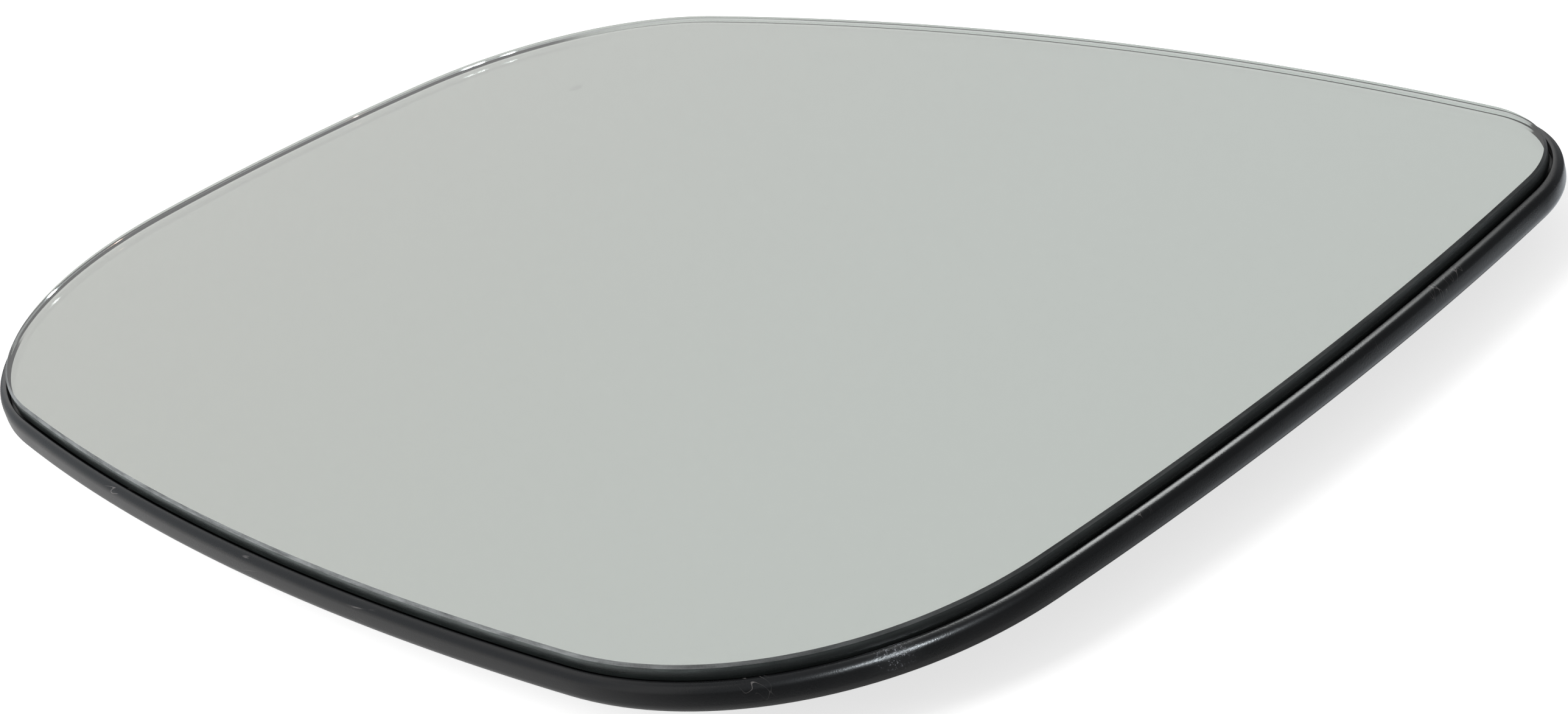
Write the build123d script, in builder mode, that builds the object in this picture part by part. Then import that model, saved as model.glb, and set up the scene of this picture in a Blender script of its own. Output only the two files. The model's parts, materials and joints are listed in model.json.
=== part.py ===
import os

from build123d import *

# Car door mirror glass for the left-hand side, in millimetres.
# The mirror face looks along +Z, +X points to the door and +Y points up on the car.
# The origin lies on the socket's axis, in the plane of the socket's open end.

# Plan of the glass seen from the front: four construction corners, measured from the socket's axis
outer_top_reach = 73.1
outer_top_rise = 62.1
outer_foot_reach = 82.5
outer_foot_drop = 61.2
inner_top_reach = 99.3
inner_top_rise = 39.0
inner_foot_reach = 72.4
inner_foot_drop = 52.4

# How far the middle of each side bows out from the line between its construction corners
outer_crown = 6.3
top_crown = 10.8
inner_crown = 4.7
foot_crown = 4.5

# Rounding of the four corners
outer_top_radius = 39.1
outer_foot_radius = 14.5
inner_top_radius = 36.7
inner_foot_radius = 40.7

# Glass
face_radius = 1400.0
glass_thickness = 2.0
arris = 0.3

# Adhesive pad between the glass and the plate
pad_thickness = 1.0
pad_inset = 1.5

# Backing plate: skin under the pad and the rim round the glass
skin = 2.0
seat_clearance = 0.3
rim_wall = 1.15
rim_setback = 1.5
rim_shoulder_round = 0.6
rim_under_bevel = 0.9

# Locating ring for the actuator's spigot
socket_radius = 22.0
socket_wall = 2.0
socket_depth = 9.0

# Spring claws that snap over the actuator's flange
claw_count = 4
flange_band = 10.0
claw_width = 9.0
claw_thickness = 1.8
hook_reach = 1.4
hook_land = 0.6
hook_height = 2.2
window_clearance = 0.4

# Stiffening ribs on the back of the plate
rib_count = 8
rib_wall = 1.2
rib_depth = 2.8
rib_edge_inset = 7.0

# Heights above the origin, on the socket's axis
seat_apex = socket_depth + skin
back_apex = seat_apex + pad_thickness
face_apex = back_apex + glass_thickness
crown_apex = face_apex - rim_setback
rib_apex = socket_depth - rib_depth

# Radii and margins that follow from the sizes
dome_drop = face_radius - face_apex
rim_margin = seat_clearance + rim_wall
ring_radius = socket_radius + socket_wall
claw_radius = ring_radius + flange_band
root_overlap = skin / 2

# Round along the rim's outer shoulder, which has to leave a narrow land beside the glass
shoulder_round = min(rim_shoulder_round, 0.8 * rim_wall)

outer_top = Vector(-outer_top_reach, outer_top_rise)
outer_foot = Vector(-outer_foot_reach, -outer_foot_drop)
inner_top = Vector(inner_top_reach, inner_top_rise)
inner_foot = Vector(inner_foot_reach, -inner_foot_drop)

# Sides and corners of the plan, clockwise from the front
sides = (
    (outer_foot, outer_top, outer_crown),
    (outer_top, inner_top, top_crown),
    (inner_top, inner_foot, inner_crown),
    (inner_foot, outer_foot, foot_crown),
)
corners = (
    (outer_top, outer_top_radius),
    (inner_top, inner_top_radius),
    (inner_foot, inner_foot_radius),
    (outer_foot, outer_foot_radius),
)


def side_circle(start, end, crown):
    """Centre and radius of the circle that a bowed side is part of."""
    chord = end - start
    radius = (chord.length**2 / 4 + crown**2) / (2 * crown)
    inward = chord.normalized().rotate(Axis.Z, -90)
    centre = (start + end) / 2 + inward * (radius - crown)
    return centre, radius


def glass_plan(margin):
    """Outline of the glass, moved outwards by a margin: the common area of four circles, rounded."""
    with BuildSketch() as plan:
        for index, side in enumerate(sides):
            centre, radius = side_circle(*side)
            with Locations(centre):
                Circle(radius + margin, mode=Mode.INTERSECT if index else Mode.ADD)
        for corner, radius in corners:
            if radius + margin > 0:
                fillet(plan.vertices().sort_by_distance(corner)[0], radius + margin)
    return plan.sketch


def dome(apex):
    """Ball about the centre of the mirror face's curve, reaching up to the given height."""
    with BuildPart() as ball:
        with Locations((0, 0, -dome_drop)):
            Sphere(dome_drop + apex, rotation=(90, 0, 0))
    return ball.part


def domed_slab(plan, low_apex, high_apex):
    """Solid over a plan, between two domes."""
    upper, lower = dome(high_apex), dome(low_apex)
    with BuildPart() as slab:
        with BuildSketch():
            add(plan)
        extrude(amount=high_apex, both=True)
        add(upper, mode=Mode.INTERSECT)
        add(lower, mode=Mode.SUBTRACT)
    return slab.part


def dome_edges(solid, end):
    """Outer edges of the topmost (-1) or lowest (0) domed face of a slab."""
    domed_faces = solid.faces().filter_by(GeomType.SPHERE)
    return domed_faces.sort_by(SortBy.RADIUS)[end].outer_wire().edges()


os.makedirs("parts", exist_ok=True)

# Mirror glass: one convex sheet with a ground arris along both edges
glass_sheet = domed_slab(glass_plan(0), back_apex, face_apex)

with BuildPart() as mirror_glass:
    add(glass_sheet)
    for end in (0, -1):
        chamfer(dome_edges(mirror_glass, end), arris)

mirror_glass.part.label = "mirror_glass"
export_step(mirror_glass.part, "parts/mirror_glass.step")

# Adhesive pad: a thin sheet between the back of the glass and the seat in the plate
pad_sheet = domed_slab(glass_plan(-pad_inset), seat_apex, back_apex)

with BuildPart() as adhesive_pad:
    add(pad_sheet)

adhesive_pad.part.label = "adhesive_pad"
export_step(adhesive_pad.part, "parts/adhesive_pad.step")

# Backing plate: a domed tray whose rounded rim stands round the glass
tray_blank = domed_slab(glass_plan(rim_margin), socket_depth, crown_apex)
seat_space = domed_slab(glass_plan(seat_clearance), seat_apex, face_apex)

# Ribs: a loop that follows the rim, and radial ribs between the loop and the locating ring
with BuildSketch() as rib_plan:
    add(glass_plan(-rib_edge_inset))
    add(glass_plan(-rib_edge_inset - rib_wall), mode=Mode.SUBTRACT)
    rib_length = outer_foot_reach + inner_top_reach
    with PolarLocations(0, rib_count, start_angle=180 / rib_count):
        Rectangle(rib_length, rib_wall, align=(Align.MIN, Align.CENTER))
    Circle(ring_radius - socket_wall / 2, mode=Mode.SUBTRACT)
    add(glass_plan(-rib_edge_inset), mode=Mode.INTERSECT)

ribs = domed_slab(rib_plan.sketch, rib_apex, socket_depth + root_overlap)

# One claw: a finger that stands beyond the flange, with a hook that reaches in under it
with BuildPart() as claw:
    with BuildSketch(Plane.XZ):
        with BuildLine():
            Polyline(
                (claw_radius, socket_depth + root_overlap),
                (claw_radius, hook_height),
                (claw_radius - hook_reach, hook_height),
                (claw_radius - hook_reach, hook_height - hook_land),
                (claw_radius, 0),
                (claw_radius + claw_thickness, 0),
                (claw_radius + claw_thickness, socket_depth + root_overlap),
                close=True,
            )
        make_face()
    extrude(amount=claw_width / 2, both=True)

with BuildPart() as backing_plate:
    add(tray_blank)
    fillet(dome_edges(backing_plate, -1), shoulder_round)
    chamfer(dome_edges(backing_plate, 0), rim_under_bevel)
    add(seat_space, mode=Mode.SUBTRACT)
    add(ribs)
    # Locating ring round the socket
    with BuildSketch():
        Circle(ring_radius)
        Circle(socket_radius, mode=Mode.SUBTRACT)
    extrude(amount=socket_depth + root_overlap)
    with PolarLocations(0, claw_count):
        add(claw.part)
    # Window through the skin in front of each hook, where the mould shapes the hook's inner side
    with BuildSketch(Plane.XY.offset(rib_apex)):
        with PolarLocations(claw_radius, claw_count):
            Rectangle(
                hook_reach + window_clearance,
                claw_width + 2 * window_clearance,
                align=(Align.MAX, Align.CENTER),
            )
    extrude(amount=seat_apex - rib_apex, mode=Mode.SUBTRACT)

backing_plate.part.label = "backing_plate"
export_step(backing_plate.part, "parts/backing_plate.step")
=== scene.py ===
"""Car door mirror glass: a convex silvered glass, bonded in a black moulded backing plate.

Lengths are in metres. +Z points out of the mirror face, +X to the door and +Y up on the car.
Pieces are drawn flat, with each height measured on the socket's axis, and then laid on domes
about the centre of the mirror face's curve.
"""

import json
import math
from collections import namedtuple
from functools import partial

import bmesh
import bpy
from bpy.props import FloatProperty, FloatVectorProperty, IntProperty, PointerProperty
from mathutils import Matrix, Vector


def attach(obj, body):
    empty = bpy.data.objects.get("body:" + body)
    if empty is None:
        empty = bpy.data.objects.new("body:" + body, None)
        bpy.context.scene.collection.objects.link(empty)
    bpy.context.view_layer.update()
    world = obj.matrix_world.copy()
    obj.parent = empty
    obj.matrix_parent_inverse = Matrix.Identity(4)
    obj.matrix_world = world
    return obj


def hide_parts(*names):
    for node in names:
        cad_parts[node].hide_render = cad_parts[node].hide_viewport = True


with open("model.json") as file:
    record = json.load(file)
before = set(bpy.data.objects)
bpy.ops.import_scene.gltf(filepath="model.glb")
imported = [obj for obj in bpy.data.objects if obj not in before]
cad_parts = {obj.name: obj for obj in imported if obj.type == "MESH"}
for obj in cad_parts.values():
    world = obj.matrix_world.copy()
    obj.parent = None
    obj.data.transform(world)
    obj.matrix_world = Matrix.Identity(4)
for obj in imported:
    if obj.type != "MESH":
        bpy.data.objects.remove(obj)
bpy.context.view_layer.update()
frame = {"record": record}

bl_info = {
    "name": "Car Door Mirror Glass",
    "version": (1, 0, 0),
    "blender": (4, 5, 0),
    "location": "3D View > Sidebar > Door Mirror",
    "description": "Models a convex car door mirror glass in its moulded backing plate",
    "category": "Add Mesh",
}

BODY = "root"
SOCKET = frame["record"]["mounts"][0]
UP = Vector((0, 0, 1))
PHOTO_WIDTH_PX = 2576

# Modelling: points closer than this are one, and how finely rounds and long forms are divided
MERGE_DISTANCE = 1e-6
ROUND_STEP = math.radians(12)
RING_STEPS = 128
RIB_STEPS = 40
SCREEN_STEPS = 24

# Edges sharper than this stay sharp when a piece is shaded smooth
SHEET_CREASE = math.radians(30)
PLATE_CREASE = math.radians(35)

# Surfaces of the glass, in the order of its materials
CLEAR_FACE, GROUND_EDGE, GROUND_ARRIS, SILVER_COAT = range(4)
GLASS_IOR = 1.52

# Scuffed patch on the rim's outer top corner: its place, its reach and that of its pale marks
# Its pale marks are partly wear and partly a painted highlight
SCUFF = (-0.0743, 0.0489, 0.0092)
SCUFF_REACH = 0.0045
SCRAPE_AND_HIGHLIGHT_REACH = 0.0026


def direction(azimuth, elevation=0):
    """Unit vector at an azimuth from +X and an elevation, both in degrees."""
    azimuth, elevation = math.radians(azimuth), math.radians(elevation)
    level = math.cos(elevation)
    return Vector((level * math.cos(azimuth), level * math.sin(azimuth), math.sin(elevation)))


# Lamps: each is turned to a place, and hangs in a direction from it
Lamp = namedtuple("Lamp", "name about direction reach size power tint")
COOL, WARM = (0.88, 0.95, 1.0), (1.0, 0.60, 0.42)
KEY_LAMP = Lamp("key_lamp", (0, 0, 0), direction(51, 48), 1.3, (1.2, 1.2), 14.5, (1, 1, 1))
REFLECTED_LAMPS = (
    Lamp("window", (-0.084, 0, 0.01), direction(-78, 60), 0.6, (0.44, 0.21), 4.2, (0.97, 1.0, 0.99)),
    Lamp("front_lamp", SCUFF, direction(148, 23), 0.35, (0.024, 0.05), 2.0, COOL),
)

# Glints in the far edge of the glass: the arc of the plan and the share of it where each one lies,
# its reach, and the size, power and tint of its lamp
INNER_TOP_ROUND, INNER_SIDE, INNER_FOOT_ROUND = 3, 4, 5
Glint = namedtuple("Glint", "arc share reach size power tint")
GLINT_LAMP_REACH = 0.8
GLINTS = (
    Glint(INNER_FOOT_ROUND, 0.16, 0.0008, (0.022, 0.022), 0.030, COOL),
    Glint(INNER_FOOT_ROUND, 0.20, 0.0009, (0.026, 0.026), 0.042, COOL),
    Glint(INNER_FOOT_ROUND, 0.30, 0.0009, (0.026, 0.026), 0.042, COOL),
    Glint(INNER_TOP_ROUND, 0.63, 0.0014, (0.080, 0.040), 0.120, COOL),
    Glint(INNER_TOP_ROUND, 0.87, 0.0010, (0.050, 0.050), 0.024, WARM),
    Glint(INNER_SIDE, 0.75, 0.0006, (0.020, 0.020), 0.0015, WARM),
)

# Cards on the floor, screens round the part and a roof above it, which the rim mirrors
CARD_TINT = (0.90, 0.95, 1.0)
CARD_HEIGHT = 0.0004
SCREEN_DISTANCE = 0.5
ROOF_SIZE, ROOF_HEIGHT, ROOF_GLOW = 1.1, 1.0, 0.45
Screen = namedtuple("Screen", "name begin end high glow")
SCREENS = (
    Screen("front_screen", 92, 165, 0.95, 0.40),
    Screen("side_screen", 165, 250, 0.95, 0.22),
    Screen("corner_screen", 250, 284, 0.24, 0.30),
    Screen("back_screen", -8, 70, 0.50, 0.68),
)

Arc = namedtuple("Arc", "centre turn steps")
Outline = namedtuple("Outline", "start outward arcs")
Heights = namedtuple("Heights", "under seat back face crown ribs drop")
Ground = namedtuple("Ground", "finish place depth x y streaks outside")


def length(name, description, default):
    """Property for a length."""
    return FloatProperty(
        name=name, description=description, default=default, unit="LENGTH", precision=5
    )


def angle(name, description, degrees):
    """Property for an angle."""
    return FloatProperty(
        name=name, description=description, default=math.radians(degrees), subtype="ANGLE"
    )


def plain_number(name, description, default):
    """Property for a number without a unit."""
    return FloatProperty(name=name, description=description, default=default)


def whole_number(name, description, default):
    """Property for a number of edges or forms."""
    return IntProperty(name=name, description=description, default=default)


def corner(name, description, default):
    """Property for a place in the plan."""
    return FloatVectorProperty(
        name=name, description=description, default=default, size=2, unit="LENGTH", precision=5
    )


def colour(name, description, default):
    """Property for a colour."""
    return FloatVectorProperty(
        name=name, description=description, default=default, size=3, subtype="COLOR", min=0, max=1
    )


class OutlineSizes(bpy.types.PropertyGroup):
    """Plan of the glass: four construction corners, four bowed sides and four rounded corners"""

    outer_foot: corner(
        "Outer foot", "Construction corner at the foot, away from the door", (-0.0825, -0.0612)
    )
    outer_top: corner(
        "Outer top", "Construction corner at the top, away from the door", (-0.0731, 0.0621)
    )
    inner_top: corner(
        "Inner top", "Construction corner at the top, beside the door", (0.0993, 0.0390)
    )
    inner_foot: corner(
        "Inner foot", "Construction corner at the foot, beside the door", (0.0724, -0.0524)
    )
    outer_crown: length("Outer crown", "How far the outer side bows out", 0.0063)
    top_crown: length("Top crown", "How far the top side bows out", 0.0108)
    inner_crown: length("Inner crown", "How far the inner side bows out", 0.0047)
    foot_crown: length("Foot crown", "How far the foot side bows out", 0.0045)
    outer_foot_radius: length("Outer foot radius", "Rounding of that corner", 0.0145)
    outer_top_radius: length("Outer top radius", "Rounding of that corner", 0.0391)
    inner_top_radius: length("Inner top radius", "Rounding of that corner", 0.0367)
    inner_foot_radius: length("Inner foot radius", "Rounding of that corner", 0.0407)
    corner_steps: whole_number("Corner steps", "Edges along a rounded corner", 40)
    long_steps: whole_number("Long side steps", "Edges along the top or foot side", 48)
    short_steps: whole_number("Short side steps", "Edges along the outer or inner side", 32)


class GlassSizes(bpy.types.PropertyGroup):
    """Mirror glass and the foam pad behind it"""

    face_radius: length("Face radius", "Radius of the convex mirror face", 1.4)
    thickness: length("Thickness", "Thickness of the glass", 0.002)
    arris: length("Arris", "Width of the ground arris along both edges", 0.0003)
    pad_thickness: length("Pad thickness", "Thickness of the foam pad", 0.001)
    pad_inset: length("Pad inset", "Distance of the pad's edge from the glass edge", 0.0015)
    bond_line: length("Bond line", "Film of adhesive on each side of the pad", 0.00004)


class PlateSizes(bpy.types.PropertyGroup):
    """Moulded backing plate"""

    skin: length("Skin", "Thickness of the plate under the pad", 0.002)
    seat_clearance: length("Seat clearance", "Gap between the glass and the rim", 0.0003)
    rim_wall: length("Rim wall", "Thickness of the rim round the glass", 0.00115)
    rim_setback: length("Rim setback", "How far the rim stays below the mirror face", 0.0015)
    shoulder_round: length("Shoulder round", "Round along the rim's outer shoulder", 0.00099)
    lip_round: length("Lip round", "Round along the rim's inner lip", 0.00015)
    seat_round: length("Seat round", "Round between the seat and the rim", 0.00008)
    under_round: length("Under round", "Round along the rim's lower edge", 0.0013)
    socket_radius: length(
        "Socket radius", "Radius of the actuator's socket", SOCKET["dims"]["r_mm"] / 1000
    )
    socket_wall: length("Socket wall", "Thickness of the locating ring", 0.002)
    socket_depth: length("Socket depth", "Depth of the socket", 0.009)
    flange_band: length("Flange band", "Gap between the locating ring and the claws", 0.010)
    claw_width: length("Claw width", "Width of a spring claw", 0.009)
    claw_thickness: length("Claw thickness", "Thickness of a spring claw", 0.0018)
    hook_reach: length("Hook reach", "How far a hook reaches in under the flange", 0.0014)
    hook_land: length("Hook land", "Height of a hook's blunt nose", 0.0006)
    hook_height: length("Hook height", "Height of a hook's upper side", 0.0022)
    window_clearance: length("Window clearance", "Room round a hook in its window", 0.0004)
    claw_count: whole_number("Claws", "Number of spring claws", 4)
    rib_count: whole_number("Ribs", "Number of radial ribs", 8)
    rib_wall: length("Rib wall", "Thickness of a rib", 0.0012)
    rib_depth: length("Rib depth", "How far the ribs stand out of the plate", 0.0028)
    rib_edge_inset: length("Rib edge inset", "Distance of the rib loop from the glass edge", 0.007)
    moulded_round: length("Moulded round", "Round on the edges of ribs, ring and claws", 0.00025)


class Colours(bpy.types.PropertyGroup):
    """Finishes"""

    # Painted reflection: the coating's colour runs from warmer beside the door to cooler away from
    # it
    silver_warm_reflection: colour(
        "Silver, door side", "Reflection of the coating beside the door", (0.483, 0.498, 0.467)
    )
    silver_cool_reflection: colour(
        "Silver, far side", "Reflection of the coating away from the door", (0.489, 0.522, 0.4955)
    )
    ground_edge: colour("Ground edge", "Ground edge of the glass", (0.085, 0.101, 0.098))
    arris: colour("Arris", "Fine ground line along the glass edge", (0.20, 0.21, 0.21))
    plastic: colour("Plastic", "Black plastic of the backing plate", (0.0042, 0.0042, 0.0048))
    wear: colour("Wear", "Scratches on the plastic", (0.150, 0.140, 0.138))
    # Pale marks in the scuff: partly wear, partly a painted highlight
    scrape_and_highlight: colour("Scrape", "Pale marks in the scuff on the plastic", (0.40, 0.41, 0.46))
    foam: colour("Foam", "Black foam of the pad", (0.030, 0.030, 0.032))
    floor: colour("Floor", "Pale floor", (0.90, 0.90, 0.90))


class StageSettings(bpy.types.PropertyGroup):
    """Camera and studio light"""

    target: FloatVectorProperty(
        name="Target", description="Place that the camera looks at", unit="LENGTH",
        default=(-0.027154, 0.012917, 0.014), precision=6,
    )
    heading: angle("Heading", "Direction of view, from +Y towards +X", 129.153)
    pitch: angle("Pitch", "How far the view points down", 27.019)
    roll: angle("Roll", "Turn of the picture about the line of sight", 17.136)
    distance: length("Distance", "Distance of the camera from its target", 0.501158)
    focal_px: plain_number("Focal length", "In pixels of the picture", 7500)
    floor_size: length("Floor size", "Side of the square floor", 2.4)
    fill: plain_number("Fill", "Strength of the light from all round", 0.25)
    floor_glow: plain_number("Floor glow", "Brightness added where the floor is seen", 0.72)
    mirrored_glow: plain_number(
        "Mirrored glow", "Brightness added where the floor is mirrored", 0.08
    )


class DoorMirrorSettings(bpy.types.PropertyGroup):
    """Sizes, finishes and stage of the door mirror glass"""

    outline: PointerProperty(type=OutlineSizes)
    glass: PointerProperty(type=GlassSizes)
    plate: PointerProperty(type=PlateSizes)
    colours: PointerProperty(type=Colours)
    stage: PointerProperty(type=StageSettings)


class Value:
    """A socket's output in a node tree: arithmetic on it adds Math nodes to that tree."""

    def __init__(self, finish, socket):
        self.finish = finish
        self.socket = socket

    def math(self, operation, first, second):
        return self.finish.node("ShaderNodeMath", {"operation": operation}, {0: first, 1: second})

    def __add__(self, other):
        return self.math("ADD", self, other)

    def __sub__(self, other):
        return self.math("SUBTRACT", self, other)

    def __rsub__(self, other):
        return self.math("SUBTRACT", other, self)

    def __mul__(self, other):
        return self.math("MULTIPLY", self, other)

    __radd__ = __add__
    __rmul__ = __mul__


class Finish:
    """The node tree of a material or world."""

    def __init__(self, owner):
        owner.use_nodes = True
        self.owner = owner
        self.tree = owner.node_tree
        self.tree.nodes.clear()

    def node(self, kind, settings=None, inputs=None, output=0):
        """Adds a node: its settings first, then the values or links of its sockets."""
        node = self.tree.nodes.new(kind)
        for key, value in (settings or {}).items():
            setattr(node, key, value)
        for key, value in (inputs or {}).items():
            if isinstance(value, Value):
                self.tree.links.new(value.socket, node.inputs[key])
            else:
                node.inputs[key].default_value = value
        return Value(self, node.outputs[output]) if node.outputs else None


def ready():
    """Leaves edit mode and deselects everything."""
    if bpy.context.mode != "OBJECT":
        bpy.ops.object.mode_set(mode="OBJECT")
    bpy.ops.object.select_all(action="DESELECT")


def pick(obj):
    """Selects one object alone and makes it the active one."""
    ready()
    obj.select_set(True)
    bpy.context.view_layer.objects.active = obj


def edit(obj):
    """Opens one object in edit mode with all of it selected."""
    pick(obj)
    bpy.ops.object.mode_set(mode="EDIT")
    bpy.ops.mesh.select_all(action="SELECT")


def close_mesh():
    """Turns all faces of the edited mesh outwards and leaves edit mode."""
    bpy.ops.mesh.select_all(action="SELECT")
    bpy.ops.mesh.normals_make_consistent(inside=False)
    ready()


def spin(centre, axis, turn, steps):
    """Spins what is selected by a right-handed turn. Blender's own spin counts the other way."""
    bpy.ops.mesh.spin(steps=steps, angle=-turn, center=centre, axis=axis)


class Pen:
    """Draws edges as by hand: a vertex is extruded along lines and spun along arcs."""

    def __init__(self, name, start):
        ready()
        bpy.ops.mesh.primitive_plane_add()
        self.obj = bpy.context.object
        self.obj.name = self.obj.data.name = name
        edit(self.obj)
        bpy.ops.mesh.merge(type="CENTER")
        bpy.ops.transform.translate(value=start)
        self.place = Vector(start)

    def line(self, end):
        bpy.ops.mesh.extrude_vertices_move(TRANSFORM_OT_translate={"value": end - self.place})
        self.place = end

    def arc(self, centre, axis, turn, end):
        steps = max(2, round(abs(turn) / ROUND_STEP))
        spin(centre, axis, turn, steps)
        self.place = end


def draw_profile(name, origin, outward, points, closed=False):
    """Draws a section in the upright plane through origin: points are (offset, height, round)."""
    axis = outward.cross(UP)

    def placed(point):
        return origin + outward * point.x + UP * point.y

    flat = [Vector(point[:2]) for point in points]
    pen = Pen(name, placed(flat[0]))
    count = len(points)
    for index in range(1, count + (1 if closed else 0)):
        here, before, after = flat[index % count], flat[index - 1], flat[(index + 1) % count]
        radius = points[index % count][2]
        if not radius or index == count:
            pen.line(placed(here))
            continue
        along, onward = (here - before).normalized(), (after - here).normalized()
        turn = math.atan2(along.cross(onward), along.dot(onward))
        setback = radius * math.tan(abs(turn) / 2)
        begin, end = here - along * setback, here + onward * setback
        side = math.copysign(radius, turn)
        centre = begin + Vector((-along.y, along.x)) * side
        pen.line(placed(begin))
        pen.arc(placed(centre), axis, turn, placed(end))
    bpy.ops.mesh.select_all(action="SELECT")
    return pen.obj


def side_circle(start, end, crown):
    """Centre and radius of the circle that a bowed side is part of."""
    chord = end - start
    radius = (chord.length_squared / 4 + crown**2) / (2 * crown)
    inward = Vector((chord.y, -chord.x)).normalized()
    return (start + end) / 2 + inward * (radius - crown), radius


def corner_centre(first, second, radius, sharp):
    """Centre of the rounding that touches two side circles from within, near the sharp corner."""
    (c1, r1), (c2, r2) = first, second
    between = c2 - c1
    r1, r2 = r1 - radius, r2 - radius
    along = (r1**2 - r2**2 + between.length_squared) / (2 * between.length)
    aside = math.sqrt(r1**2 - along**2)
    axis = between.normalized()
    across = Vector((-axis.y, axis.x))
    choices = [c1 + axis * along + across * aside * sign for sign in (1, -1)]
    return min(choices, key=lambda centre: (centre - sharp).length)


def trace_outline(sizes):
    """The plan of the glass as arcs, clockwise from the front, beginning on the outer side."""
    names = ("outer_foot", "outer_top", "inner_top", "inner_foot")
    crowns = (sizes.outer_crown, sizes.top_crown, sizes.inner_crown, sizes.foot_crown)
    steps = (sizes.short_steps, sizes.long_steps) * 2
    corners = [Vector(getattr(sizes, name)) for name in names]
    radii = [getattr(sizes, name + "_radius") for name in names]
    sides = [side_circle(corners[i], corners[(i + 1) % 4], crowns[i]) for i in range(4)]
    rounds = [corner_centre(sides[i - 1], sides[i], radii[i], corners[i]) for i in range(4)]

    def touch(side, round_index):
        centre, radius = sides[side]
        return centre + (rounds[round_index] - centre).normalized() * radius

    def arc(centre, begin, end, count):
        a, b = begin - centre, end - centre
        return Arc(centre.to_3d(), math.atan2(a.cross(b), a.dot(b)), count)

    arcs = []
    for i in range(4):
        following = (i + 1) % 4
        side_end, next_start = touch(i, following), touch(following, following)
        arcs.append(arc(sides[i][0], touch(i, i), side_end, steps[i]))
        arcs.append(arc(rounds[following], side_end, next_start, sizes.corner_steps))
    start = touch(0, 0)
    return Outline(start.to_3d(), (start - sides[0][0]).normalized().to_3d(), arcs)


def follow(outline):
    """Spins what is selected once round the outline and closes the seam."""
    for arc in outline.arcs:
        spin(arc.centre, UP, arc.turn, arc.steps)
    bpy.ops.mesh.select_all(action="SELECT")
    bpy.ops.mesh.remove_doubles(threshold=MERGE_DISTANCE)


def fill_loop(obj, height, sizes):
    """Fills the open loop at a height with a grid of quads, cornered at the outer foot."""
    bpy.ops.mesh.select_mode(type="EDGE")
    bpy.ops.mesh.select_all(action="DESELECT")
    mesh = bmesh.from_edit_mesh(obj.data)

    def in_loop(edge):
        level = all(abs(vertex.co.z - height) < MERGE_DISTANCE for vertex in edge.verts)
        return level and len(edge.link_faces) < 2

    loop = [edge for edge in mesh.edges if in_loop(edge)]
    for edge in loop:
        edge.select_set(True)
    around = {vertex for edge in loop for vertex in edge.verts}
    grid_corner = Vector(sizes.outer_foot)
    first = min(around, key=lambda vertex: (vertex.co.to_2d() - grid_corner).length)
    mesh.select_history.clear()
    mesh.select_history.add(first)
    bmesh.update_edit_mesh(obj.data)
    bpy.ops.mesh.fill_grid(span=sizes.short_steps + sizes.corner_steps, offset=0)
    bpy.ops.mesh.select_mode(type="VERT")
    bpy.ops.mesh.select_all(action="SELECT")


def draw_sheet(name, sizes, margin, height, thickness):
    """A flat sheet over the plan, moved outwards by a margin, with its upper side at a height."""
    outline = trace_outline(sizes)
    pen = Pen(name, outline.start + outline.outward * margin + UP * height)
    follow(outline)
    fill_loop(pen.obj, height, sizes)
    close_mesh()
    facing_up = pen.obj.data.polygons[0].normal.z > 0
    finish_with(pen.obj, "SOLIDIFY", thickness=thickness, offset=-1 if facing_up else 1)
    edit(pen.obj)
    close_mesh()
    return pen.obj


def finish_with(obj, kind, **settings):
    """Gives an object a modifier and applies it."""
    pick(obj)
    modifier = obj.modifiers.new(kind.title(), kind)
    for key, value in settings.items():
        setattr(modifier, key, value)
    bpy.ops.object.modifier_apply(modifier=modifier.name)


def combine(obj, tool, operation):
    """Unites, cuts or trims an object with another, which is then removed."""
    finish_with(obj, "BOOLEAN", operation=operation, solver="EXACT", object=tool)
    bpy.data.objects.remove(tool)


def dome_height(place, apex, drop):
    """Height over a place in the plan of the dome that has its apex at a height."""
    return math.sqrt((drop + apex)**2 - place.to_2d().length_squared) - drop


def lay_on_domes(obj, drop):
    """Lets a flat mesh down onto domes about a centre that lies below the origin by the drop."""
    for vertex in obj.data.vertices:
        vertex.co.z = dome_height(vertex.co, vertex.co.z, drop)
    obj.data.update()


def smooth(obj, crease):
    """Shades an object smooth, apart from edges sharper than the crease."""
    pick(obj)
    bpy.ops.object.shade_smooth_by_angle(angle=crease)


def turned_copies(obj, count, start):
    """Copies an object round the socket's axis, the first turned by start, and joins the copies."""
    copies = []
    for index in range(count):
        turned = obj.copy()
        turned.data = obj.data.copy()
        turned.data.transform(Matrix.Rotation(start + index * math.tau / count, 4, "Z"))
        bpy.context.collection.objects.link(turned)
        copies.append(turned)
    bpy.data.objects.remove(obj)
    ready()
    for turned in copies:
        turned.select_set(True)
    bpy.context.view_layer.objects.active = copies[0]
    bpy.ops.object.join()
    return copies[0]


def heights_of(settings):
    """Heights of the seams on the socket's axis, and the drop of the domes' centre."""
    glass, plate = settings.glass, settings.plate
    seat = plate.socket_depth + plate.skin
    back = seat + glass.pad_thickness
    face = back + glass.thickness
    return Heights(
        plate.socket_depth, seat, back, face, face - plate.rim_setback,
        plate.socket_depth - plate.rib_depth, glass.face_radius - face,
    )


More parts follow.
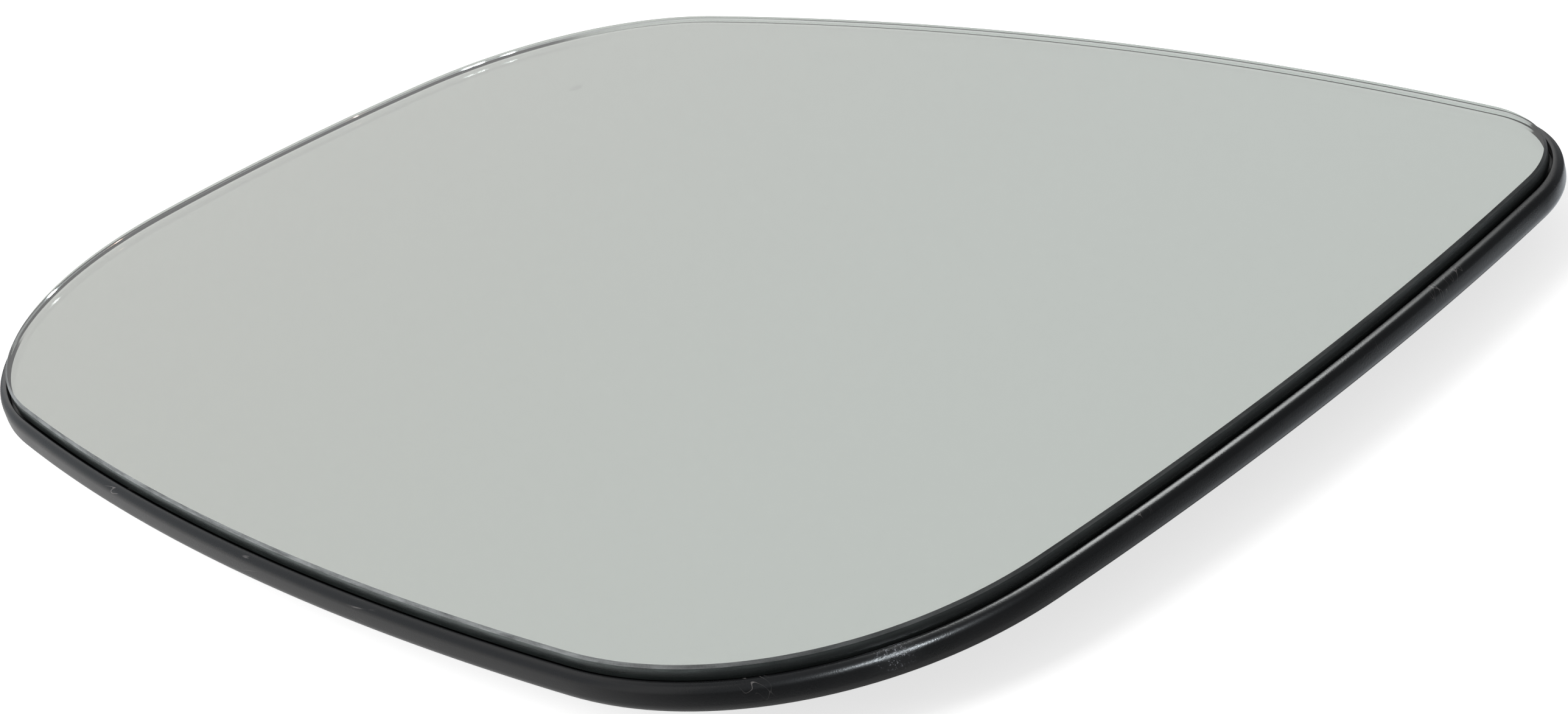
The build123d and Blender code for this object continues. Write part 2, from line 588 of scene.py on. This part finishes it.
def lower_arris(settings, glint):
    """Middle of the glass's lower arris where a glint lies, and the normal into the glass there."""
    heights, arris = heights_of(settings), settings.glass.arris
    edge = trace_outline(settings.outline).start
    for index, arc in enumerate(trace_outline(settings.outline).arcs[:glint.arc + 1]):
        turn = arc.turn * (glint.share if index == glint.arc else 1)
        outward = Matrix.Rotation(turn, 3, "Z") @ (edge - arc.centre)
        edge = arc.centre + outward
    outward.normalize()
    foot = edge - outward * arris
    low = dome_height(foot, heights.back, heights.drop)
    high = dome_height(edge, heights.back + arris, heights.drop)
    normal = UP * arris - outward * (high - low)
    return (edge + foot) / 2 + UP * (low + high) / 2, normal.normalized()


def dress(obj, node, slot, *materials):
    """Gives a finished piece its materials and lets it stand for its CAD node."""
    for material in materials:
        obj.data.materials.append(material)
    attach(obj, BODY)
    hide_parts(node)


def rgba(values):
    """A colour with full alpha."""
    return (*values, 1)


def shade(values, factor):
    """A colour made darker or paler."""
    return rgba(value * factor for value in values)


def new_finish(name):
    """A new material, cleared, with its object coordinates."""
    finish = Finish(bpy.data.materials.new(name))
    return finish, finish.node("ShaderNodeTexCoord", output="Object")


def close_finish(finish, shader):
    """Links a shader to the material's output."""
    finish.node("ShaderNodeOutputMaterial", inputs={"Surface": shader})
    return finish.owner


def vectors(finish, operation, first, second=(0, 0, 0), output="Vector"):
    """Vector arithmetic, which gives a vector or, by its output, a value."""
    return finish.node(
        "ShaderNodeVectorMath", {"operation": operation}, {0: first, 1: second}, output
    )


def stretched(finish, place, scales):
    """Coordinates with a scale of their own along each axis."""
    return vectors(finish, "MULTIPLY", place, scales)


def along_axes(finish, place, axes):
    """Coordinates of a place along the named axes."""
    return [
        finish.node("ShaderNodeSeparateXYZ", inputs={"Vector": place}, output=axis) for axis in axes
    ]


def noise(finish, place, scale, detail=2.0, roughness=0.5):
    """Cloudy pattern, with features about one part in the scale of a metre wide."""
    return finish.node(
        "ShaderNodeTexNoise",
        inputs={"Vector": place, "Scale": scale, "Detail": detail, "Roughness": roughness},
    )


def rise(finish, value, low, high):
    """Rises smoothly from 0 to 1 between two values."""
    return finish.node(
        "ShaderNodeMapRange", {"interpolation_type": "SMOOTHSTEP"},
        {"Value": value, "From Min": low, "From Max": high},
    )


def near(finish, place, centre, radius):
    """1 at a point, falling to 0 at a distance from it."""
    distance = vectors(finish, "DISTANCE", place, centre, "Value")
    return 1 - rise(finish, distance, 0, radius)


def blend(finish, factor, first, second):
    """Mix of two colours."""
    return finish.node(
        "ShaderNodeMix", {"data_type": "RGBA"}, {0: factor, 6: first, 7: second}, output=2
    )


def bumped(finish, height, depth):
    """Normal of a surface whose relief is as deep as given."""
    return finish.node(
        "ShaderNodeBump", inputs={"Height": height, "Strength": 1.0, "Distance": depth}
    )


def specks(finish, place, scale, size, share):
    """Small round spots in a share of the cells of a loose grid."""
    cells = {"Vector": place, "Scale": scale, "Randomness": 1.0}
    distance = finish.node("ShaderNodeTexVoronoi", inputs=cells)
    tint = finish.node("ShaderNodeTexVoronoi", inputs=cells, output="Color")
    draw = finish.node("ShaderNodeSeparateColor", inputs={"Color": tint})
    spot = 1 - rise(finish, distance, 0.6 * size, size)
    return spot * (1 - rise(finish, draw, share, share + 0.01))


def clear_glass():
    """Polished upper face of the glass, with the faintest film of dust."""
    finish, place = new_finish("clear_glass")
    film = rise(finish, noise(finish, place, 60, 4), 0.45, 0.75)
    shader = finish.node(
        "ShaderNodeBsdfPrincipled",
        inputs={
            "Base Color": rgba((1, 1, 1)), "Roughness": film * 0.012,
            "IOR": GLASS_IOR, "Transmission Weight": 1.0,
        },
    )
    return close_finish(finish, shader)


def silver_coat(colours):
    """Mirror coating on the back of the glass, with a painted reflection warmer beside the door, and
    a few faint spots.
    """
    finish, place = new_finish("silver_coat")
    # Painted reflection: warmer beside the door, cooler away from it
    away = vectors(finish, "DOT_PRODUCT", place, (-0.95, -0.30, 0), "Value")
    warm, cool = rgba(colours.silver_warm_reflection), rgba(colours.silver_cool_reflection)
    tint = blend(finish, rise(finish, away, -0.11, 0.07), warm, cool)
    spots = specks(finish, place, 55, 0.06, 0.06)
    shader = finish.node(
        "ShaderNodeBsdfPrincipled",
        inputs={
            "Base Color": blend(finish, spots * 0.10, tint, rgba((0.05, 0.05, 0.05))),
            "Metallic": 1.0, "Roughness": 0.02,
        },
    )
    return close_finish(finish, shader)


def start_ground(name, base, face_radius, drop):
    """A finish for ground glass, with its outer look: streaked, with painted shade towards the back
    and on the outer side.
    """
    finish, place = new_finish(name)
    above = vectors(finish, "ADD", place, (0, 0, drop))
    depth = face_radius - vectors(finish, "LENGTH", above, output="Value")
    x, y = along_axes(finish, place, "XY")
    streaks = noise(finish, stretched(finish, place, (220, 220, 2200)), 1, 3, 0.6)
    grain = noise(finish, place, 6000, 2)
    # Painted shade: darker towards the back, in the gap by the rim, and darker on the outer side
    lit = 1 - 0.85 * rise(finish, depth, 0.0004, 0.0010)
    painted_side_shade = lit * (0.25 + 0.75 * rise(finish, x, -0.078, -0.035))
    streaks_and_shade = rise(finish, streaks + 0.2 * grain, 0.15, 0.95) * painted_side_shade
    outside = finish.node(
        "ShaderNodeBsdfPrincipled",
        inputs={
            "Base Color": blend(finish, streaks_and_shade, shade(base, 0.15), shade(base, 1.7)),
            "Roughness": 0.16 + 0.16 * streaks, "IOR": GLASS_IOR,
            "Normal": bumped(finish, grain, 0.00001),
        },
    )
    return Ground(finish, place, depth, x, y, streaks, outside)


def mirror_within(ground, tone, normal):
    """Ground glass seen from within the sheet: a mirror with a tone, turned to a normal."""
    return ground.finish.node(
        "ShaderNodeBsdfPrincipled",
        inputs={
            "Base Color": tone, "Roughness": 0.05 + 0.02 * ground.streaks, "Metallic": 1.0,
            "Normal": vectors(ground.finish, "NORMALIZE", normal),
        },
    )


def close_ground(ground, within):
    """Joins the looks of ground glass from outside and from within."""
    finish = ground.finish
    back = finish.node("ShaderNodeNewGeometry", output="Backfacing")
    looks = {0: back, 1: ground.outside, 2: within}
    return close_finish(finish, finish.node("ShaderNodeMixShader", inputs=looks))


def arris_scales(step, x, y):
    """Scales of the arris's normal, level and upright, by a step function for numbers or nodes.

    The mirror throws its light up through the face, and at the inner foot past the upper arris.
    """
    inner_foot = step(x, 0.03, 0.07) * (1 - step(y, -0.03, 0.01))
    return 0.44 + 0.16 * inner_foot, 1.34 - 0.06 * inner_foot


def ground_edge(base, face_radius, drop):
    """Ground edge of the glass. From within it leans up a little, apart from the inner side."""
    ground = start_ground("ground_edge", base, face_radius, drop)
    finish = ground.finish
    tone = blend(finish, ground.streaks, rgba((0.92, 0.96, 0.94)), rgba((0.96, 0.99, 0.98)))
    upward = 0.05 * (1 - rise(finish, ground.x, 0.055, 0.095))
    lean = finish.node("ShaderNodeCombineXYZ", inputs={"Z": upward})
    normal = finish.node("ShaderNodeNewGeometry", output="Normal")
    leaning = vectors(finish, "ADD", normal, lean)
    return close_ground(ground, mirror_within(ground, tone, leaning))


def ground_arris(base, face_radius, drop, glints):
    """Ground arris of the glass. From within it is frosted at the face and a mirror at the back,
    with painted shade and glints.
    """
    ground = start_ground("ground_arris", base, face_radius, drop)
    finish, x, y = ground.finish, ground.x, ground.y
    # Painted shade: from within, the arris is darker towards the inner side and towards the outer
    # side
    painted_arris_shade = rise(finish, x, 0.040, 0.100) + 0.6 * (1 - rise(finish, x, -0.088, -0.065))
    tone = blend(finish, painted_arris_shade, rgba((0.50, 0.53, 0.51)), rgba((0.15, 0.165, 0.16)))
    # Painted glints: round each glint the arris mirror is full white, and a lamp also shows there
    for centre, reach in glints:
        tone = blend(finish, near(finish, ground.place, centre, reach), tone, rgba((1, 1, 1)))
    level, upright = arris_scales(partial(rise, finish), x, y)
    scales = finish.node("ShaderNodeCombineXYZ", inputs={"X": level, "Y": level, "Z": upright})
    normal = finish.node("ShaderNodeNewGeometry", output="Normal")
    mirror = mirror_within(ground, tone, stretched(finish, normal, scales))
    frosted = finish.node("ShaderNodeBsdfGlass", inputs={"Roughness": 0.1, "IOR": GLASS_IOR})
    lower = rise(finish, ground.depth, 0.0009, 0.0011)
    within = finish.node("ShaderNodeMixShader", inputs={0: lower, 1: frosted, 2: mirror})
    return close_ground(ground, within)


def satin_plastic(colours):
    """Black moulded plastic with a fine grain, a few hair scratches and a scuff."""
    finish, place = new_finish("satin_plastic")
    grain = noise(finish, place, 5500, 2, 0.6)
    cloud = noise(finish, place, 180, 3)
    off_line = noise(finish, stretched(finish, place, (120, 1500, 500)), 1, 0) - 0.5
    worn = rise(finish, noise(finish, place, 130, 2), 0.62, 0.70)
    hair = (1 - rise(finish, off_line * off_line, 0.00001, 0.00012)) * worn
    scratched = blend(finish, hair, rgba(colours.plastic), rgba(colours.wear))
    scuff = near(finish, place, SCUFF, SCUFF_REACH)
    pits = noise(finish, place, 3500, 3, 0.7)
    # Pale marks in the scuff: partly wear, partly a painted highlight
    scrape_and_highlight = near(finish, place, SCUFF, SCRAPE_AND_HIGHLIGHT_REACH) * rise(finish, pits, 0.56, 0.68)
    satin = 0.20 + 0.10 * cloud + 0.08 * grain
    shader = finish.node(
        "ShaderNodeBsdfPrincipled",
        inputs={
            "Base Color": blend(finish, scrape_and_highlight, scratched, rgba(colours.scrape_and_highlight)),
            "Roughness": satin * (1 - scuff) + 0.36 * scuff, "IOR": 1.45,
            "Normal": bumped(finish, grain + 4 * scuff * pits, 0.000012),
        },
    )
    return close_finish(finish, shader)


def black_foam(colours):
    """Black double-sided foam with open cells."""
    finish, place = new_finish("black_foam")
    cells = finish.node("ShaderNodeTexVoronoi", inputs={"Vector": place, "Scale": 2200})
    shader = finish.node(
        "ShaderNodeBsdfPrincipled",
        inputs={
            "Base Color": blend(finish, cells, shade(colours.foam, 0.6), shade(colours.foam, 1.3)),
            "Roughness": 0.85, "Normal": bumped(finish, cells, 0.00008),
        },
    )
    return close_finish(finish, shader)


class DOORMIRROR_OT_glass(bpy.types.Operator):
    """Model the convex mirror glass with its ground edge and silvered back"""

    bl_idname = "door_mirror.glass"
    bl_label = "Mirror Glass"

    def execute(self, context):
        settings = context.scene.door_mirror
        heights, glass, sizes = heights_of(settings), settings.glass, settings.outline
        outline = trace_outline(sizes)
        sheet = draw_profile("silvered_glass", outline.start, outline.outward, (
            (-glass.arris, heights.face, 0),
            (0, heights.face - glass.arris, 0),
            (0, heights.back + glass.arris, 0),
            (-glass.arris, heights.back, 0),
        ))
        follow(outline)
        for height in (heights.face, heights.back):
            fill_loop(sheet, height, sizes)
        close_mesh()
        lay_on_domes(sheet, heights.drop)
        colours, radius, drop = settings.colours, glass.face_radius, heights.drop
        glints = [(lower_arris(settings, glint)[0], glint.reach) for glint in GLINTS]
        dress(
            sheet, "mirror_glass", "mirror_glass", clear_glass(),
            ground_edge(colours.ground_edge, radius, drop),
            ground_arris(colours.arris, radius, drop, glints), silver_coat(colours),
        )
        for face in sheet.data.polygons:
            face.material_index = self.surface_of(face)
        smooth(sheet, SHEET_CREASE)
        return {"FINISHED"}

    def surface_of(self, face):
        """Which surface of the glass a face belongs to, by its slope."""
        level = abs(face.normal.z)
        if level > 0.9:
            return CLEAR_FACE if face.normal.z > 0 else SILVER_COAT
        return GROUND_EDGE if level < 0.3 else GROUND_ARRIS


class DOORMIRROR_OT_pad(bpy.types.Operator):
    """Model the foam pad between the glass and the plate"""

    bl_idname = "door_mirror.pad"
    bl_label = "Foam Pad"

    def execute(self, context):
        settings = context.scene.door_mirror
        heights, glass = heights_of(settings), settings.glass
        top = heights.back - glass.bond_line
        thickness = glass.pad_thickness - 2 * glass.bond_line
        pad = draw_sheet("foam_pad", settings.outline, -glass.pad_inset, top, thickness)
        lay_on_domes(pad, heights.drop)
        dress(pad, "adhesive_pad", "adhesive_foam", black_foam(settings.colours))
        smooth(pad, SHEET_CREASE)
        return {"FINISHED"}


class DOORMIRROR_OT_plate(bpy.types.Operator):
    """Model the moulded backing plate with its rim, ribs, locating ring and spring claws"""

    bl_idname = "door_mirror.plate"
    bl_label = "Backing Plate"

    def execute(self, context):
        settings = context.scene.door_mirror
        heights = heights_of(settings)
        tray = self.draw_tray(settings, heights)
        combine(tray, self.draw_rib_loop(settings, heights), "UNION")
        combine(tray, self.draw_radial_ribs(settings, heights), "UNION")
        lay_on_domes(tray, heights.drop)
        combine(tray, self.draw_ring(settings.plate), "UNION")
        combine(tray, self.draw_claws(settings.plate), "UNION")
        combine(tray, self.draw_windows(settings.plate, heights), "DIFFERENCE")
        edit(tray)
        bpy.ops.mesh.dissolve_degenerate(threshold=MERGE_DISTANCE / 10)
        ready()
        dress(tray, "backing_plate", "plate_plastic", satin_plastic(settings.colours))
        smooth(tray, PLATE_CREASE)
        return {"FINISHED"}

    def draw_tray(self, settings, heights):
        """The plate's skin with the rounded rim that stands round the glass."""
        plate, sizes = settings.plate, settings.outline
        outline = trace_outline(sizes)
        inside = -plate.rim_wall
        wall, rim = plate.seat_clearance, plate.seat_clearance + plate.rim_wall
        tray = draw_profile("moulded_plate", outline.start, outline.outward, (
            (inside, heights.seat, 0),
            (wall, heights.seat, plate.seat_round),
            (wall, heights.crown, plate.lip_round),
            (rim, heights.crown, plate.shoulder_round),
            (rim, heights.under, plate.under_round),
            (inside, heights.under, 0),
        ))
        follow(outline)
        for height in (heights.seat, heights.under):
            fill_loop(tray, height, sizes)
        close_mesh()
        return tray

    def draw_rib_loop(self, settings, heights):
        """The rib that follows the rim."""
        plate = settings.plate
        outline = trace_outline(settings.outline)
        outside, inside = -plate.rib_edge_inset, -plate.rib_edge_inset - plate.rib_wall
        root = heights.under + plate.skin / 2
        loop = draw_profile("rib_loop", outline.start, outline.outward, (
            (outside, root, 0),
            (outside, heights.ribs, plate.moulded_round),
            (inside, heights.ribs, plate.moulded_round),
            (inside, root, 0),
        ), closed=True)
        follow(outline)
        close_mesh()
        return loop

    def draw_radial_ribs(self, settings, heights):
        """Ribs between the locating ring and the rib loop."""
        plate = settings.plate
        root = heights.under + plate.skin / 2
        begin = plate.socket_radius + plate.socket_wall / 2
        reach = 2 * plate.socket_radius + settings.outline.inner_top[0]
        half = plate.rib_wall / 2
        rib = draw_profile("radial_ribs", Vector((begin, 0, 0)), Vector((0, 1, 0)), (
            (half, root, 0),
            (half, heights.ribs, plate.moulded_round),
            (-half, heights.ribs, plate.moulded_round),
            (-half, root, 0),
        ), closed=True)
        bpy.ops.mesh.remove_doubles(threshold=MERGE_DISTANCE)
        bpy.ops.mesh.edge_face_add()
        for _ in range(RIB_STEPS):
            bpy.ops.mesh.extrude_region_move(
                TRANSFORM_OT_translate={"value": ((reach - begin) / RIB_STEPS, 0, 0)}
            )
        close_mesh()
        ribs = turned_copies(rib, plate.rib_count, math.pi / plate.rib_count)
        outline = trace_outline(settings.outline)
        inset = plate.rib_edge_inset + plate.rib_wall / 2
        area = Pen("rib_area", outline.start - outline.outward * inset)
        follow(outline)
        bpy.ops.mesh.edge_face_add()
        bpy.ops.mesh.extrude_region_move(TRANSFORM_OT_translate={"value": (0, 0, 2 * root)})
        close_mesh()
        combine(ribs, area.obj, "INTERSECT")
        return ribs

    def draw_ring(self, plate):
        """Locating ring for the actuator's spigot."""
        root = plate.socket_depth + plate.skin / 2
        inner, outer = plate.socket_radius, plate.socket_radius + plate.socket_wall
        ring = draw_profile("locating_ring", Vector(), Vector((1, 0, 0)), (
            (inner, root, 0),
            (inner, 0, plate.moulded_round),
            (outer, 0, plate.moulded_round),
            (outer, root, 0),
        ), closed=True)
        spin((0, 0, 0), UP, math.tau, RING_STEPS)
        bpy.ops.mesh.select_all(action="SELECT")
        bpy.ops.mesh.remove_doubles(threshold=MERGE_DISTANCE)
        close_mesh()
        return ring

    def draw_claws(self, plate):
        """Spring claws, each with a hook that reaches in under the actuator's flange."""
        root = plate.socket_depth + plate.skin / 2
        inner = plate.socket_radius + plate.socket_wall + plate.flange_band
        outer, nose = inner + plate.claw_thickness, inner - plate.hook_reach
        claw = draw_profile("claws", Vector((0, -plate.claw_width / 2, 0)), Vector((1, 0, 0)), (
            (inner, root, 0),
            (inner, plate.hook_height, plate.moulded_round),
            (nose, plate.hook_height, plate.moulded_round),
            (nose, plate.hook_height - plate.hook_land, plate.moulded_round),
            (inner, 0, plate.moulded_round),
            (outer, 0, plate.moulded_round),
            (outer, root, 0),
        ), closed=True)
        bpy.ops.mesh.remove_doubles(threshold=MERGE_DISTANCE)
        bpy.ops.mesh.edge_face_add()
        bpy.ops.mesh.extrude_region_move(
            TRANSFORM_OT_translate={"value": (0, plate.claw_width, 0)}
        )
        close_mesh()
        return turned_copies(claw, plate.claw_count, 0)

    def draw_windows(self, plate, heights):
        """Openings through the skin in front of the hooks."""
        inner = plate.socket_radius + plate.socket_wall + plate.flange_band
        deep = plate.hook_reach + plate.window_clearance
        wide = plate.claw_width + 2 * plate.window_clearance
        high = heights.back - heights.ribs
        ready()
        bpy.ops.mesh.primitive_cube_add(size=1)
        window = bpy.context.object
        edit(window)
        bpy.ops.transform.resize(value=(deep, wide, high))
        bpy.ops.transform.translate(value=(inner - deep / 2, 0, heights.ribs + high / 2))
        ready()
        return turned_copies(window, plate.claw_count, 0)


def line_of_sight(stage):
    """Direction in which the camera looks."""
    reach = math.cos(stage.pitch)
    level = Vector((math.sin(stage.heading) * reach, math.cos(stage.heading) * reach, 0))
    return level - UP * math.sin(stage.pitch)


def eye(stage):
    """Place of the camera."""
    return Vector(stage.target) - line_of_sight(stage) * stage.distance


def smooth_step(value, low, high):
    """Rises smoothly from 0 to 1 between two numbers."""
    share = min(max((value - low) / (high - low), 0), 1)
    return share * share * (3 - 2 * share)


def bend(ray, normal, ratio):
    """Refracts a ray, by the ratio of the refractive indices in front of a surface and behind it."""
    facing = -ray.dot(normal)
    straight = math.sqrt(max(0, 1 - ratio**2 * (1 - facing**2)))
    return ray * ratio + normal * (ratio * facing - straight)


def glint_direction(settings, place, normal):
    """Direction that the lower arris shows to the camera, in and out through the face."""
    level, upright = arris_scales(smooth_step, place.x, place.y)
    leaning = Vector((normal.x * level, normal.y * level, normal.z * upright)).normalized()
    up = (place + UP * heights_of(settings).drop).normalized()
    ray = bend((place - eye(settings.stage)).normalized(), up, 1 / GLASS_IOR)
    ray -= leaning * (2 * ray.dot(leaning))
    return bend(ray, -up, GLASS_IOR)


def outer_side(finish, x):
    """1 beside the outer side, falling to 0 towards the middle."""
    return 1 - rise(finish, x, -0.070, -0.020)


def pale_cover(finish, x, y):
    """Where the pale card covers the floor: beside the outer side, apart from its top."""
    return outer_side(finish, x) * (1 - rise(finish, y, -0.02, 0.05))


def dark_cover(finish, x, y):
    """Where the dark card covers the floor: beside the outer side and most of the inner one."""
    inner_side = rise(finish, x, 0.085, 0.095) * (1 - rise(finish, y, 0.02, 0.05))
    return outer_side(finish, x) + inner_side


class DOORMIRROR_OT_stage(bpy.types.Operator):
    """Set up the floor, the studio light and the camera"""

    bl_idname = "door_mirror.stage"
    bl_label = "Stage"

    def execute(self, context):
        settings = context.scene.door_mirror
        context.scene.view_settings.view_transform = "Standard"
        self.lay_floor(settings)
        self.light_world(context.scene, settings.stage)
        self.hang_lamps(settings)
        self.set_cards(settings)
        context.scene.camera = self.place_camera(settings.stage)
        return {"FINISHED"}

    def where_seen(self, finish):
        """1 for rays from the camera, and 1 for rays from a mirror or a glass."""
        seen, glossy, through = (
            finish.node("ShaderNodeLightPath", output=name)
            for name in ("Is Camera Ray", "Is Glossy Ray", "Is Transmission Ray")
        )
        return seen, finish.node("ShaderNodeClamp", inputs={"Value": glossy + through})

    def lay_floor(self, settings):
        """Pale floor under the part, white where it is seen, with the part's shadow on it."""
        stage = settings.stage
        ready()
        bpy.ops.mesh.primitive_plane_add(size=stage.floor_size)
        floor = bpy.context.object
        floor.name = floor.data.name = "floor"
        finish = Finish(bpy.data.materials.new("pale_floor"))
        seen, mirrored = self.where_seen(finish)
        pale = finish.node("ShaderNodeBsdfDiffuse", inputs={"Color": rgba(settings.colours.floor)})
        strength = seen * stage.floor_glow + mirrored * stage.mirrored_glow
        glow = finish.node("ShaderNodeEmission", inputs={"Strength": strength})
        shader = finish.node("ShaderNodeAddShader", inputs={0: pale, 1: glow})
        floor.data.materials.append(close_finish(finish, shader))

    def light_world(self, scene, stage):
        """White surround for what is seen or mirrored, and a softer one for the light it gives."""
        scene.world = bpy.data.worlds.new("studio")
        finish = Finish(scene.world)
        seen, mirrored = self.where_seen(finish)
        strength = stage.fill + (seen + mirrored) * (1 - stage.fill)
        white = {"Color": rgba((1, 1, 1)), "Strength": strength}
        surround = finish.node("ShaderNodeBackground", inputs=white)
        finish.node("ShaderNodeOutputWorld", inputs={"Surface": surround})

    def hang_lamps(self, settings):
        """A large soft lamp lights the part. The smaller ones only show as reflections."""
        key = self.hang_lamp(KEY_LAMP)
        key.visible_glossy = key.visible_transmission = False
        for row in REFLECTED_LAMPS:
            lamp = self.hang_lamp(row)
            lamp.visible_diffuse = lamp.visible_transmission = False
        for index, glint in enumerate(GLINTS, 1):
            place, normal = lower_arris(settings, glint)
            lamp = self.hang_lamp(Lamp(
                f"glint_lamp_{index}", place, glint_direction(settings, place, normal),
                GLINT_LAMP_REACH, glint.size, glint.power, glint.tint,
            ))
            lamp.visible_diffuse = lamp.visible_glossy = False

    def hang_lamp(self, row):
        """Area lamp that is turned to its place."""
        place = Vector(row.about) + row.direction * row.reach
        turn = row.direction.to_track_quat("Z", "Y").to_euler()
        ready()
        bpy.ops.object.light_add(type="AREA", location=place, rotation=turn)
        lamp = bpy.context.object
        lamp.name = lamp.data.name = row.name
        lamp.visible_camera = False
        lamp.data.shape = "RECTANGLE"
        lamp.data.size, lamp.data.size_y = row.size
        lamp.data.energy = row.power
        lamp.data.color = row.tint
        return lamp

    def set_cards(self, settings):
        """Cards, screens and a roof that only show as reflections in the rim."""
        outline = trace_outline(settings.outline)
        for name, begin, end, glow, cover in (
            ("pale_card", 0.0005, 0.0105, 1.3, pale_cover),
            ("dark_card", 0.0105, 0.3, 0.20, dark_cover),
        ):
            ends = ((begin, CARD_HEIGHT, 0), (end, CARD_HEIGHT, 0))
            card = draw_profile(name, outline.start, outline.outward, ends)
            follow(outline)
            self.finish_card(card, glow, cover)
        for row in SCREENS:
            ends = ((SCREEN_DISTANCE, 0, 0), (SCREEN_DISTANCE, row.high, 0))
            screen = draw_profile(row.name, Vector(), direction(row.begin), ends)
            spin((0, 0, 0), UP, math.radians(row.end - row.begin), SCREEN_STEPS)
            self.finish_card(screen, row.glow)
        ready()
        bpy.ops.mesh.primitive_plane_add(size=ROOF_SIZE)
        roof = bpy.context.object
        roof.name = "roof_card"
        edit(roof)
        bpy.ops.transform.translate(value=(0, 0, ROOF_HEIGHT))
        self.finish_card(roof, ROOF_GLOW)

    def finish_card(self, card, glow, cover=None):
        """Gives a card an even glow where it covers what is behind it, or all over."""
        ready()
        finish, place = new_finish(card.name)
        covered = cover(finish, *along_axes(finish, place, "XY")) if cover else 1.0
        clear = finish.node("ShaderNodeBsdfTransparent")
        even = finish.node(
            "ShaderNodeEmission", inputs={"Color": rgba(CARD_TINT), "Strength": glow}
        )
        shader = finish.node("ShaderNodeMixShader", inputs={0: covered, 1: clear, 2: even})
        card.data.materials.append(close_finish(finish, shader))
        card.visible_camera = card.visible_diffuse = False
        card.visible_transmission = card.visible_shadow = False

    def place_camera(self, stage):
        """Camera at the picture's angle."""
        heading, roll = stage.heading, stage.roll
        view = line_of_sight(stage)
        level = Vector((math.cos(heading), -math.sin(heading), 0))
        down = view.cross(level)
        right = level * math.cos(roll) + down * math.sin(roll)
        up = right.cross(view)
        ready()
        bpy.ops.object.camera_add(location=eye(stage))
        camera = bpy.context.object
        camera.name = camera.data.name = "camera"
        camera.rotation_euler = Matrix((right, up, -view)).transposed().to_euler()
        camera.data.sensor_fit = "HORIZONTAL"
        camera.data.lens = camera.data.sensor_width * stage.focal_px / PHOTO_WIDTH_PX
        return camera


class DOORMIRROR_PT_panel(bpy.types.Panel):
    """Lists the door mirror's pieces, sizes and finishes"""

    bl_idname = "DOORMIRROR_PT_panel"
    bl_label = "Door Mirror"
    bl_space_type = "VIEW_3D"
    bl_region_type = "UI"
    bl_category = "Door Mirror"

    def draw(self, context):
        settings = context.scene.door_mirror
        for operator in OPERATORS:
            self.layout.operator(operator.bl_idname)
        for name in settings.__annotations__:
            group = getattr(settings, name)
            box = self.layout.box()
            for size in group.__annotations__:
                box.prop(group, size)


GROUPS = (OutlineSizes, GlassSizes, PlateSizes, Colours, StageSettings, DoorMirrorSettings)
OPERATORS = (DOORMIRROR_OT_glass, DOORMIRROR_OT_pad, DOORMIRROR_OT_plate, DOORMIRROR_OT_stage)


def register():
    for item in GROUPS + OPERATORS + (DOORMIRROR_PT_panel,):
        bpy.utils.register_class(item)
    bpy.types.Scene.door_mirror = PointerProperty(type=DoorMirrorSettings)


def unregister():
    del bpy.types.Scene.door_mirror
    for item in reversed(GROUPS + OPERATORS + (DOORMIRROR_PT_panel,)):
        bpy.utils.unregister_class(item)


def main():
    """Builds the part and its stage."""
    register()
    bpy.ops.door_mirror.glass()
    bpy.ops.door_mirror.pad()
    bpy.ops.door_mirror.plate()
    bpy.ops.door_mirror.stage()


if __name__ == "__main__":
    main()
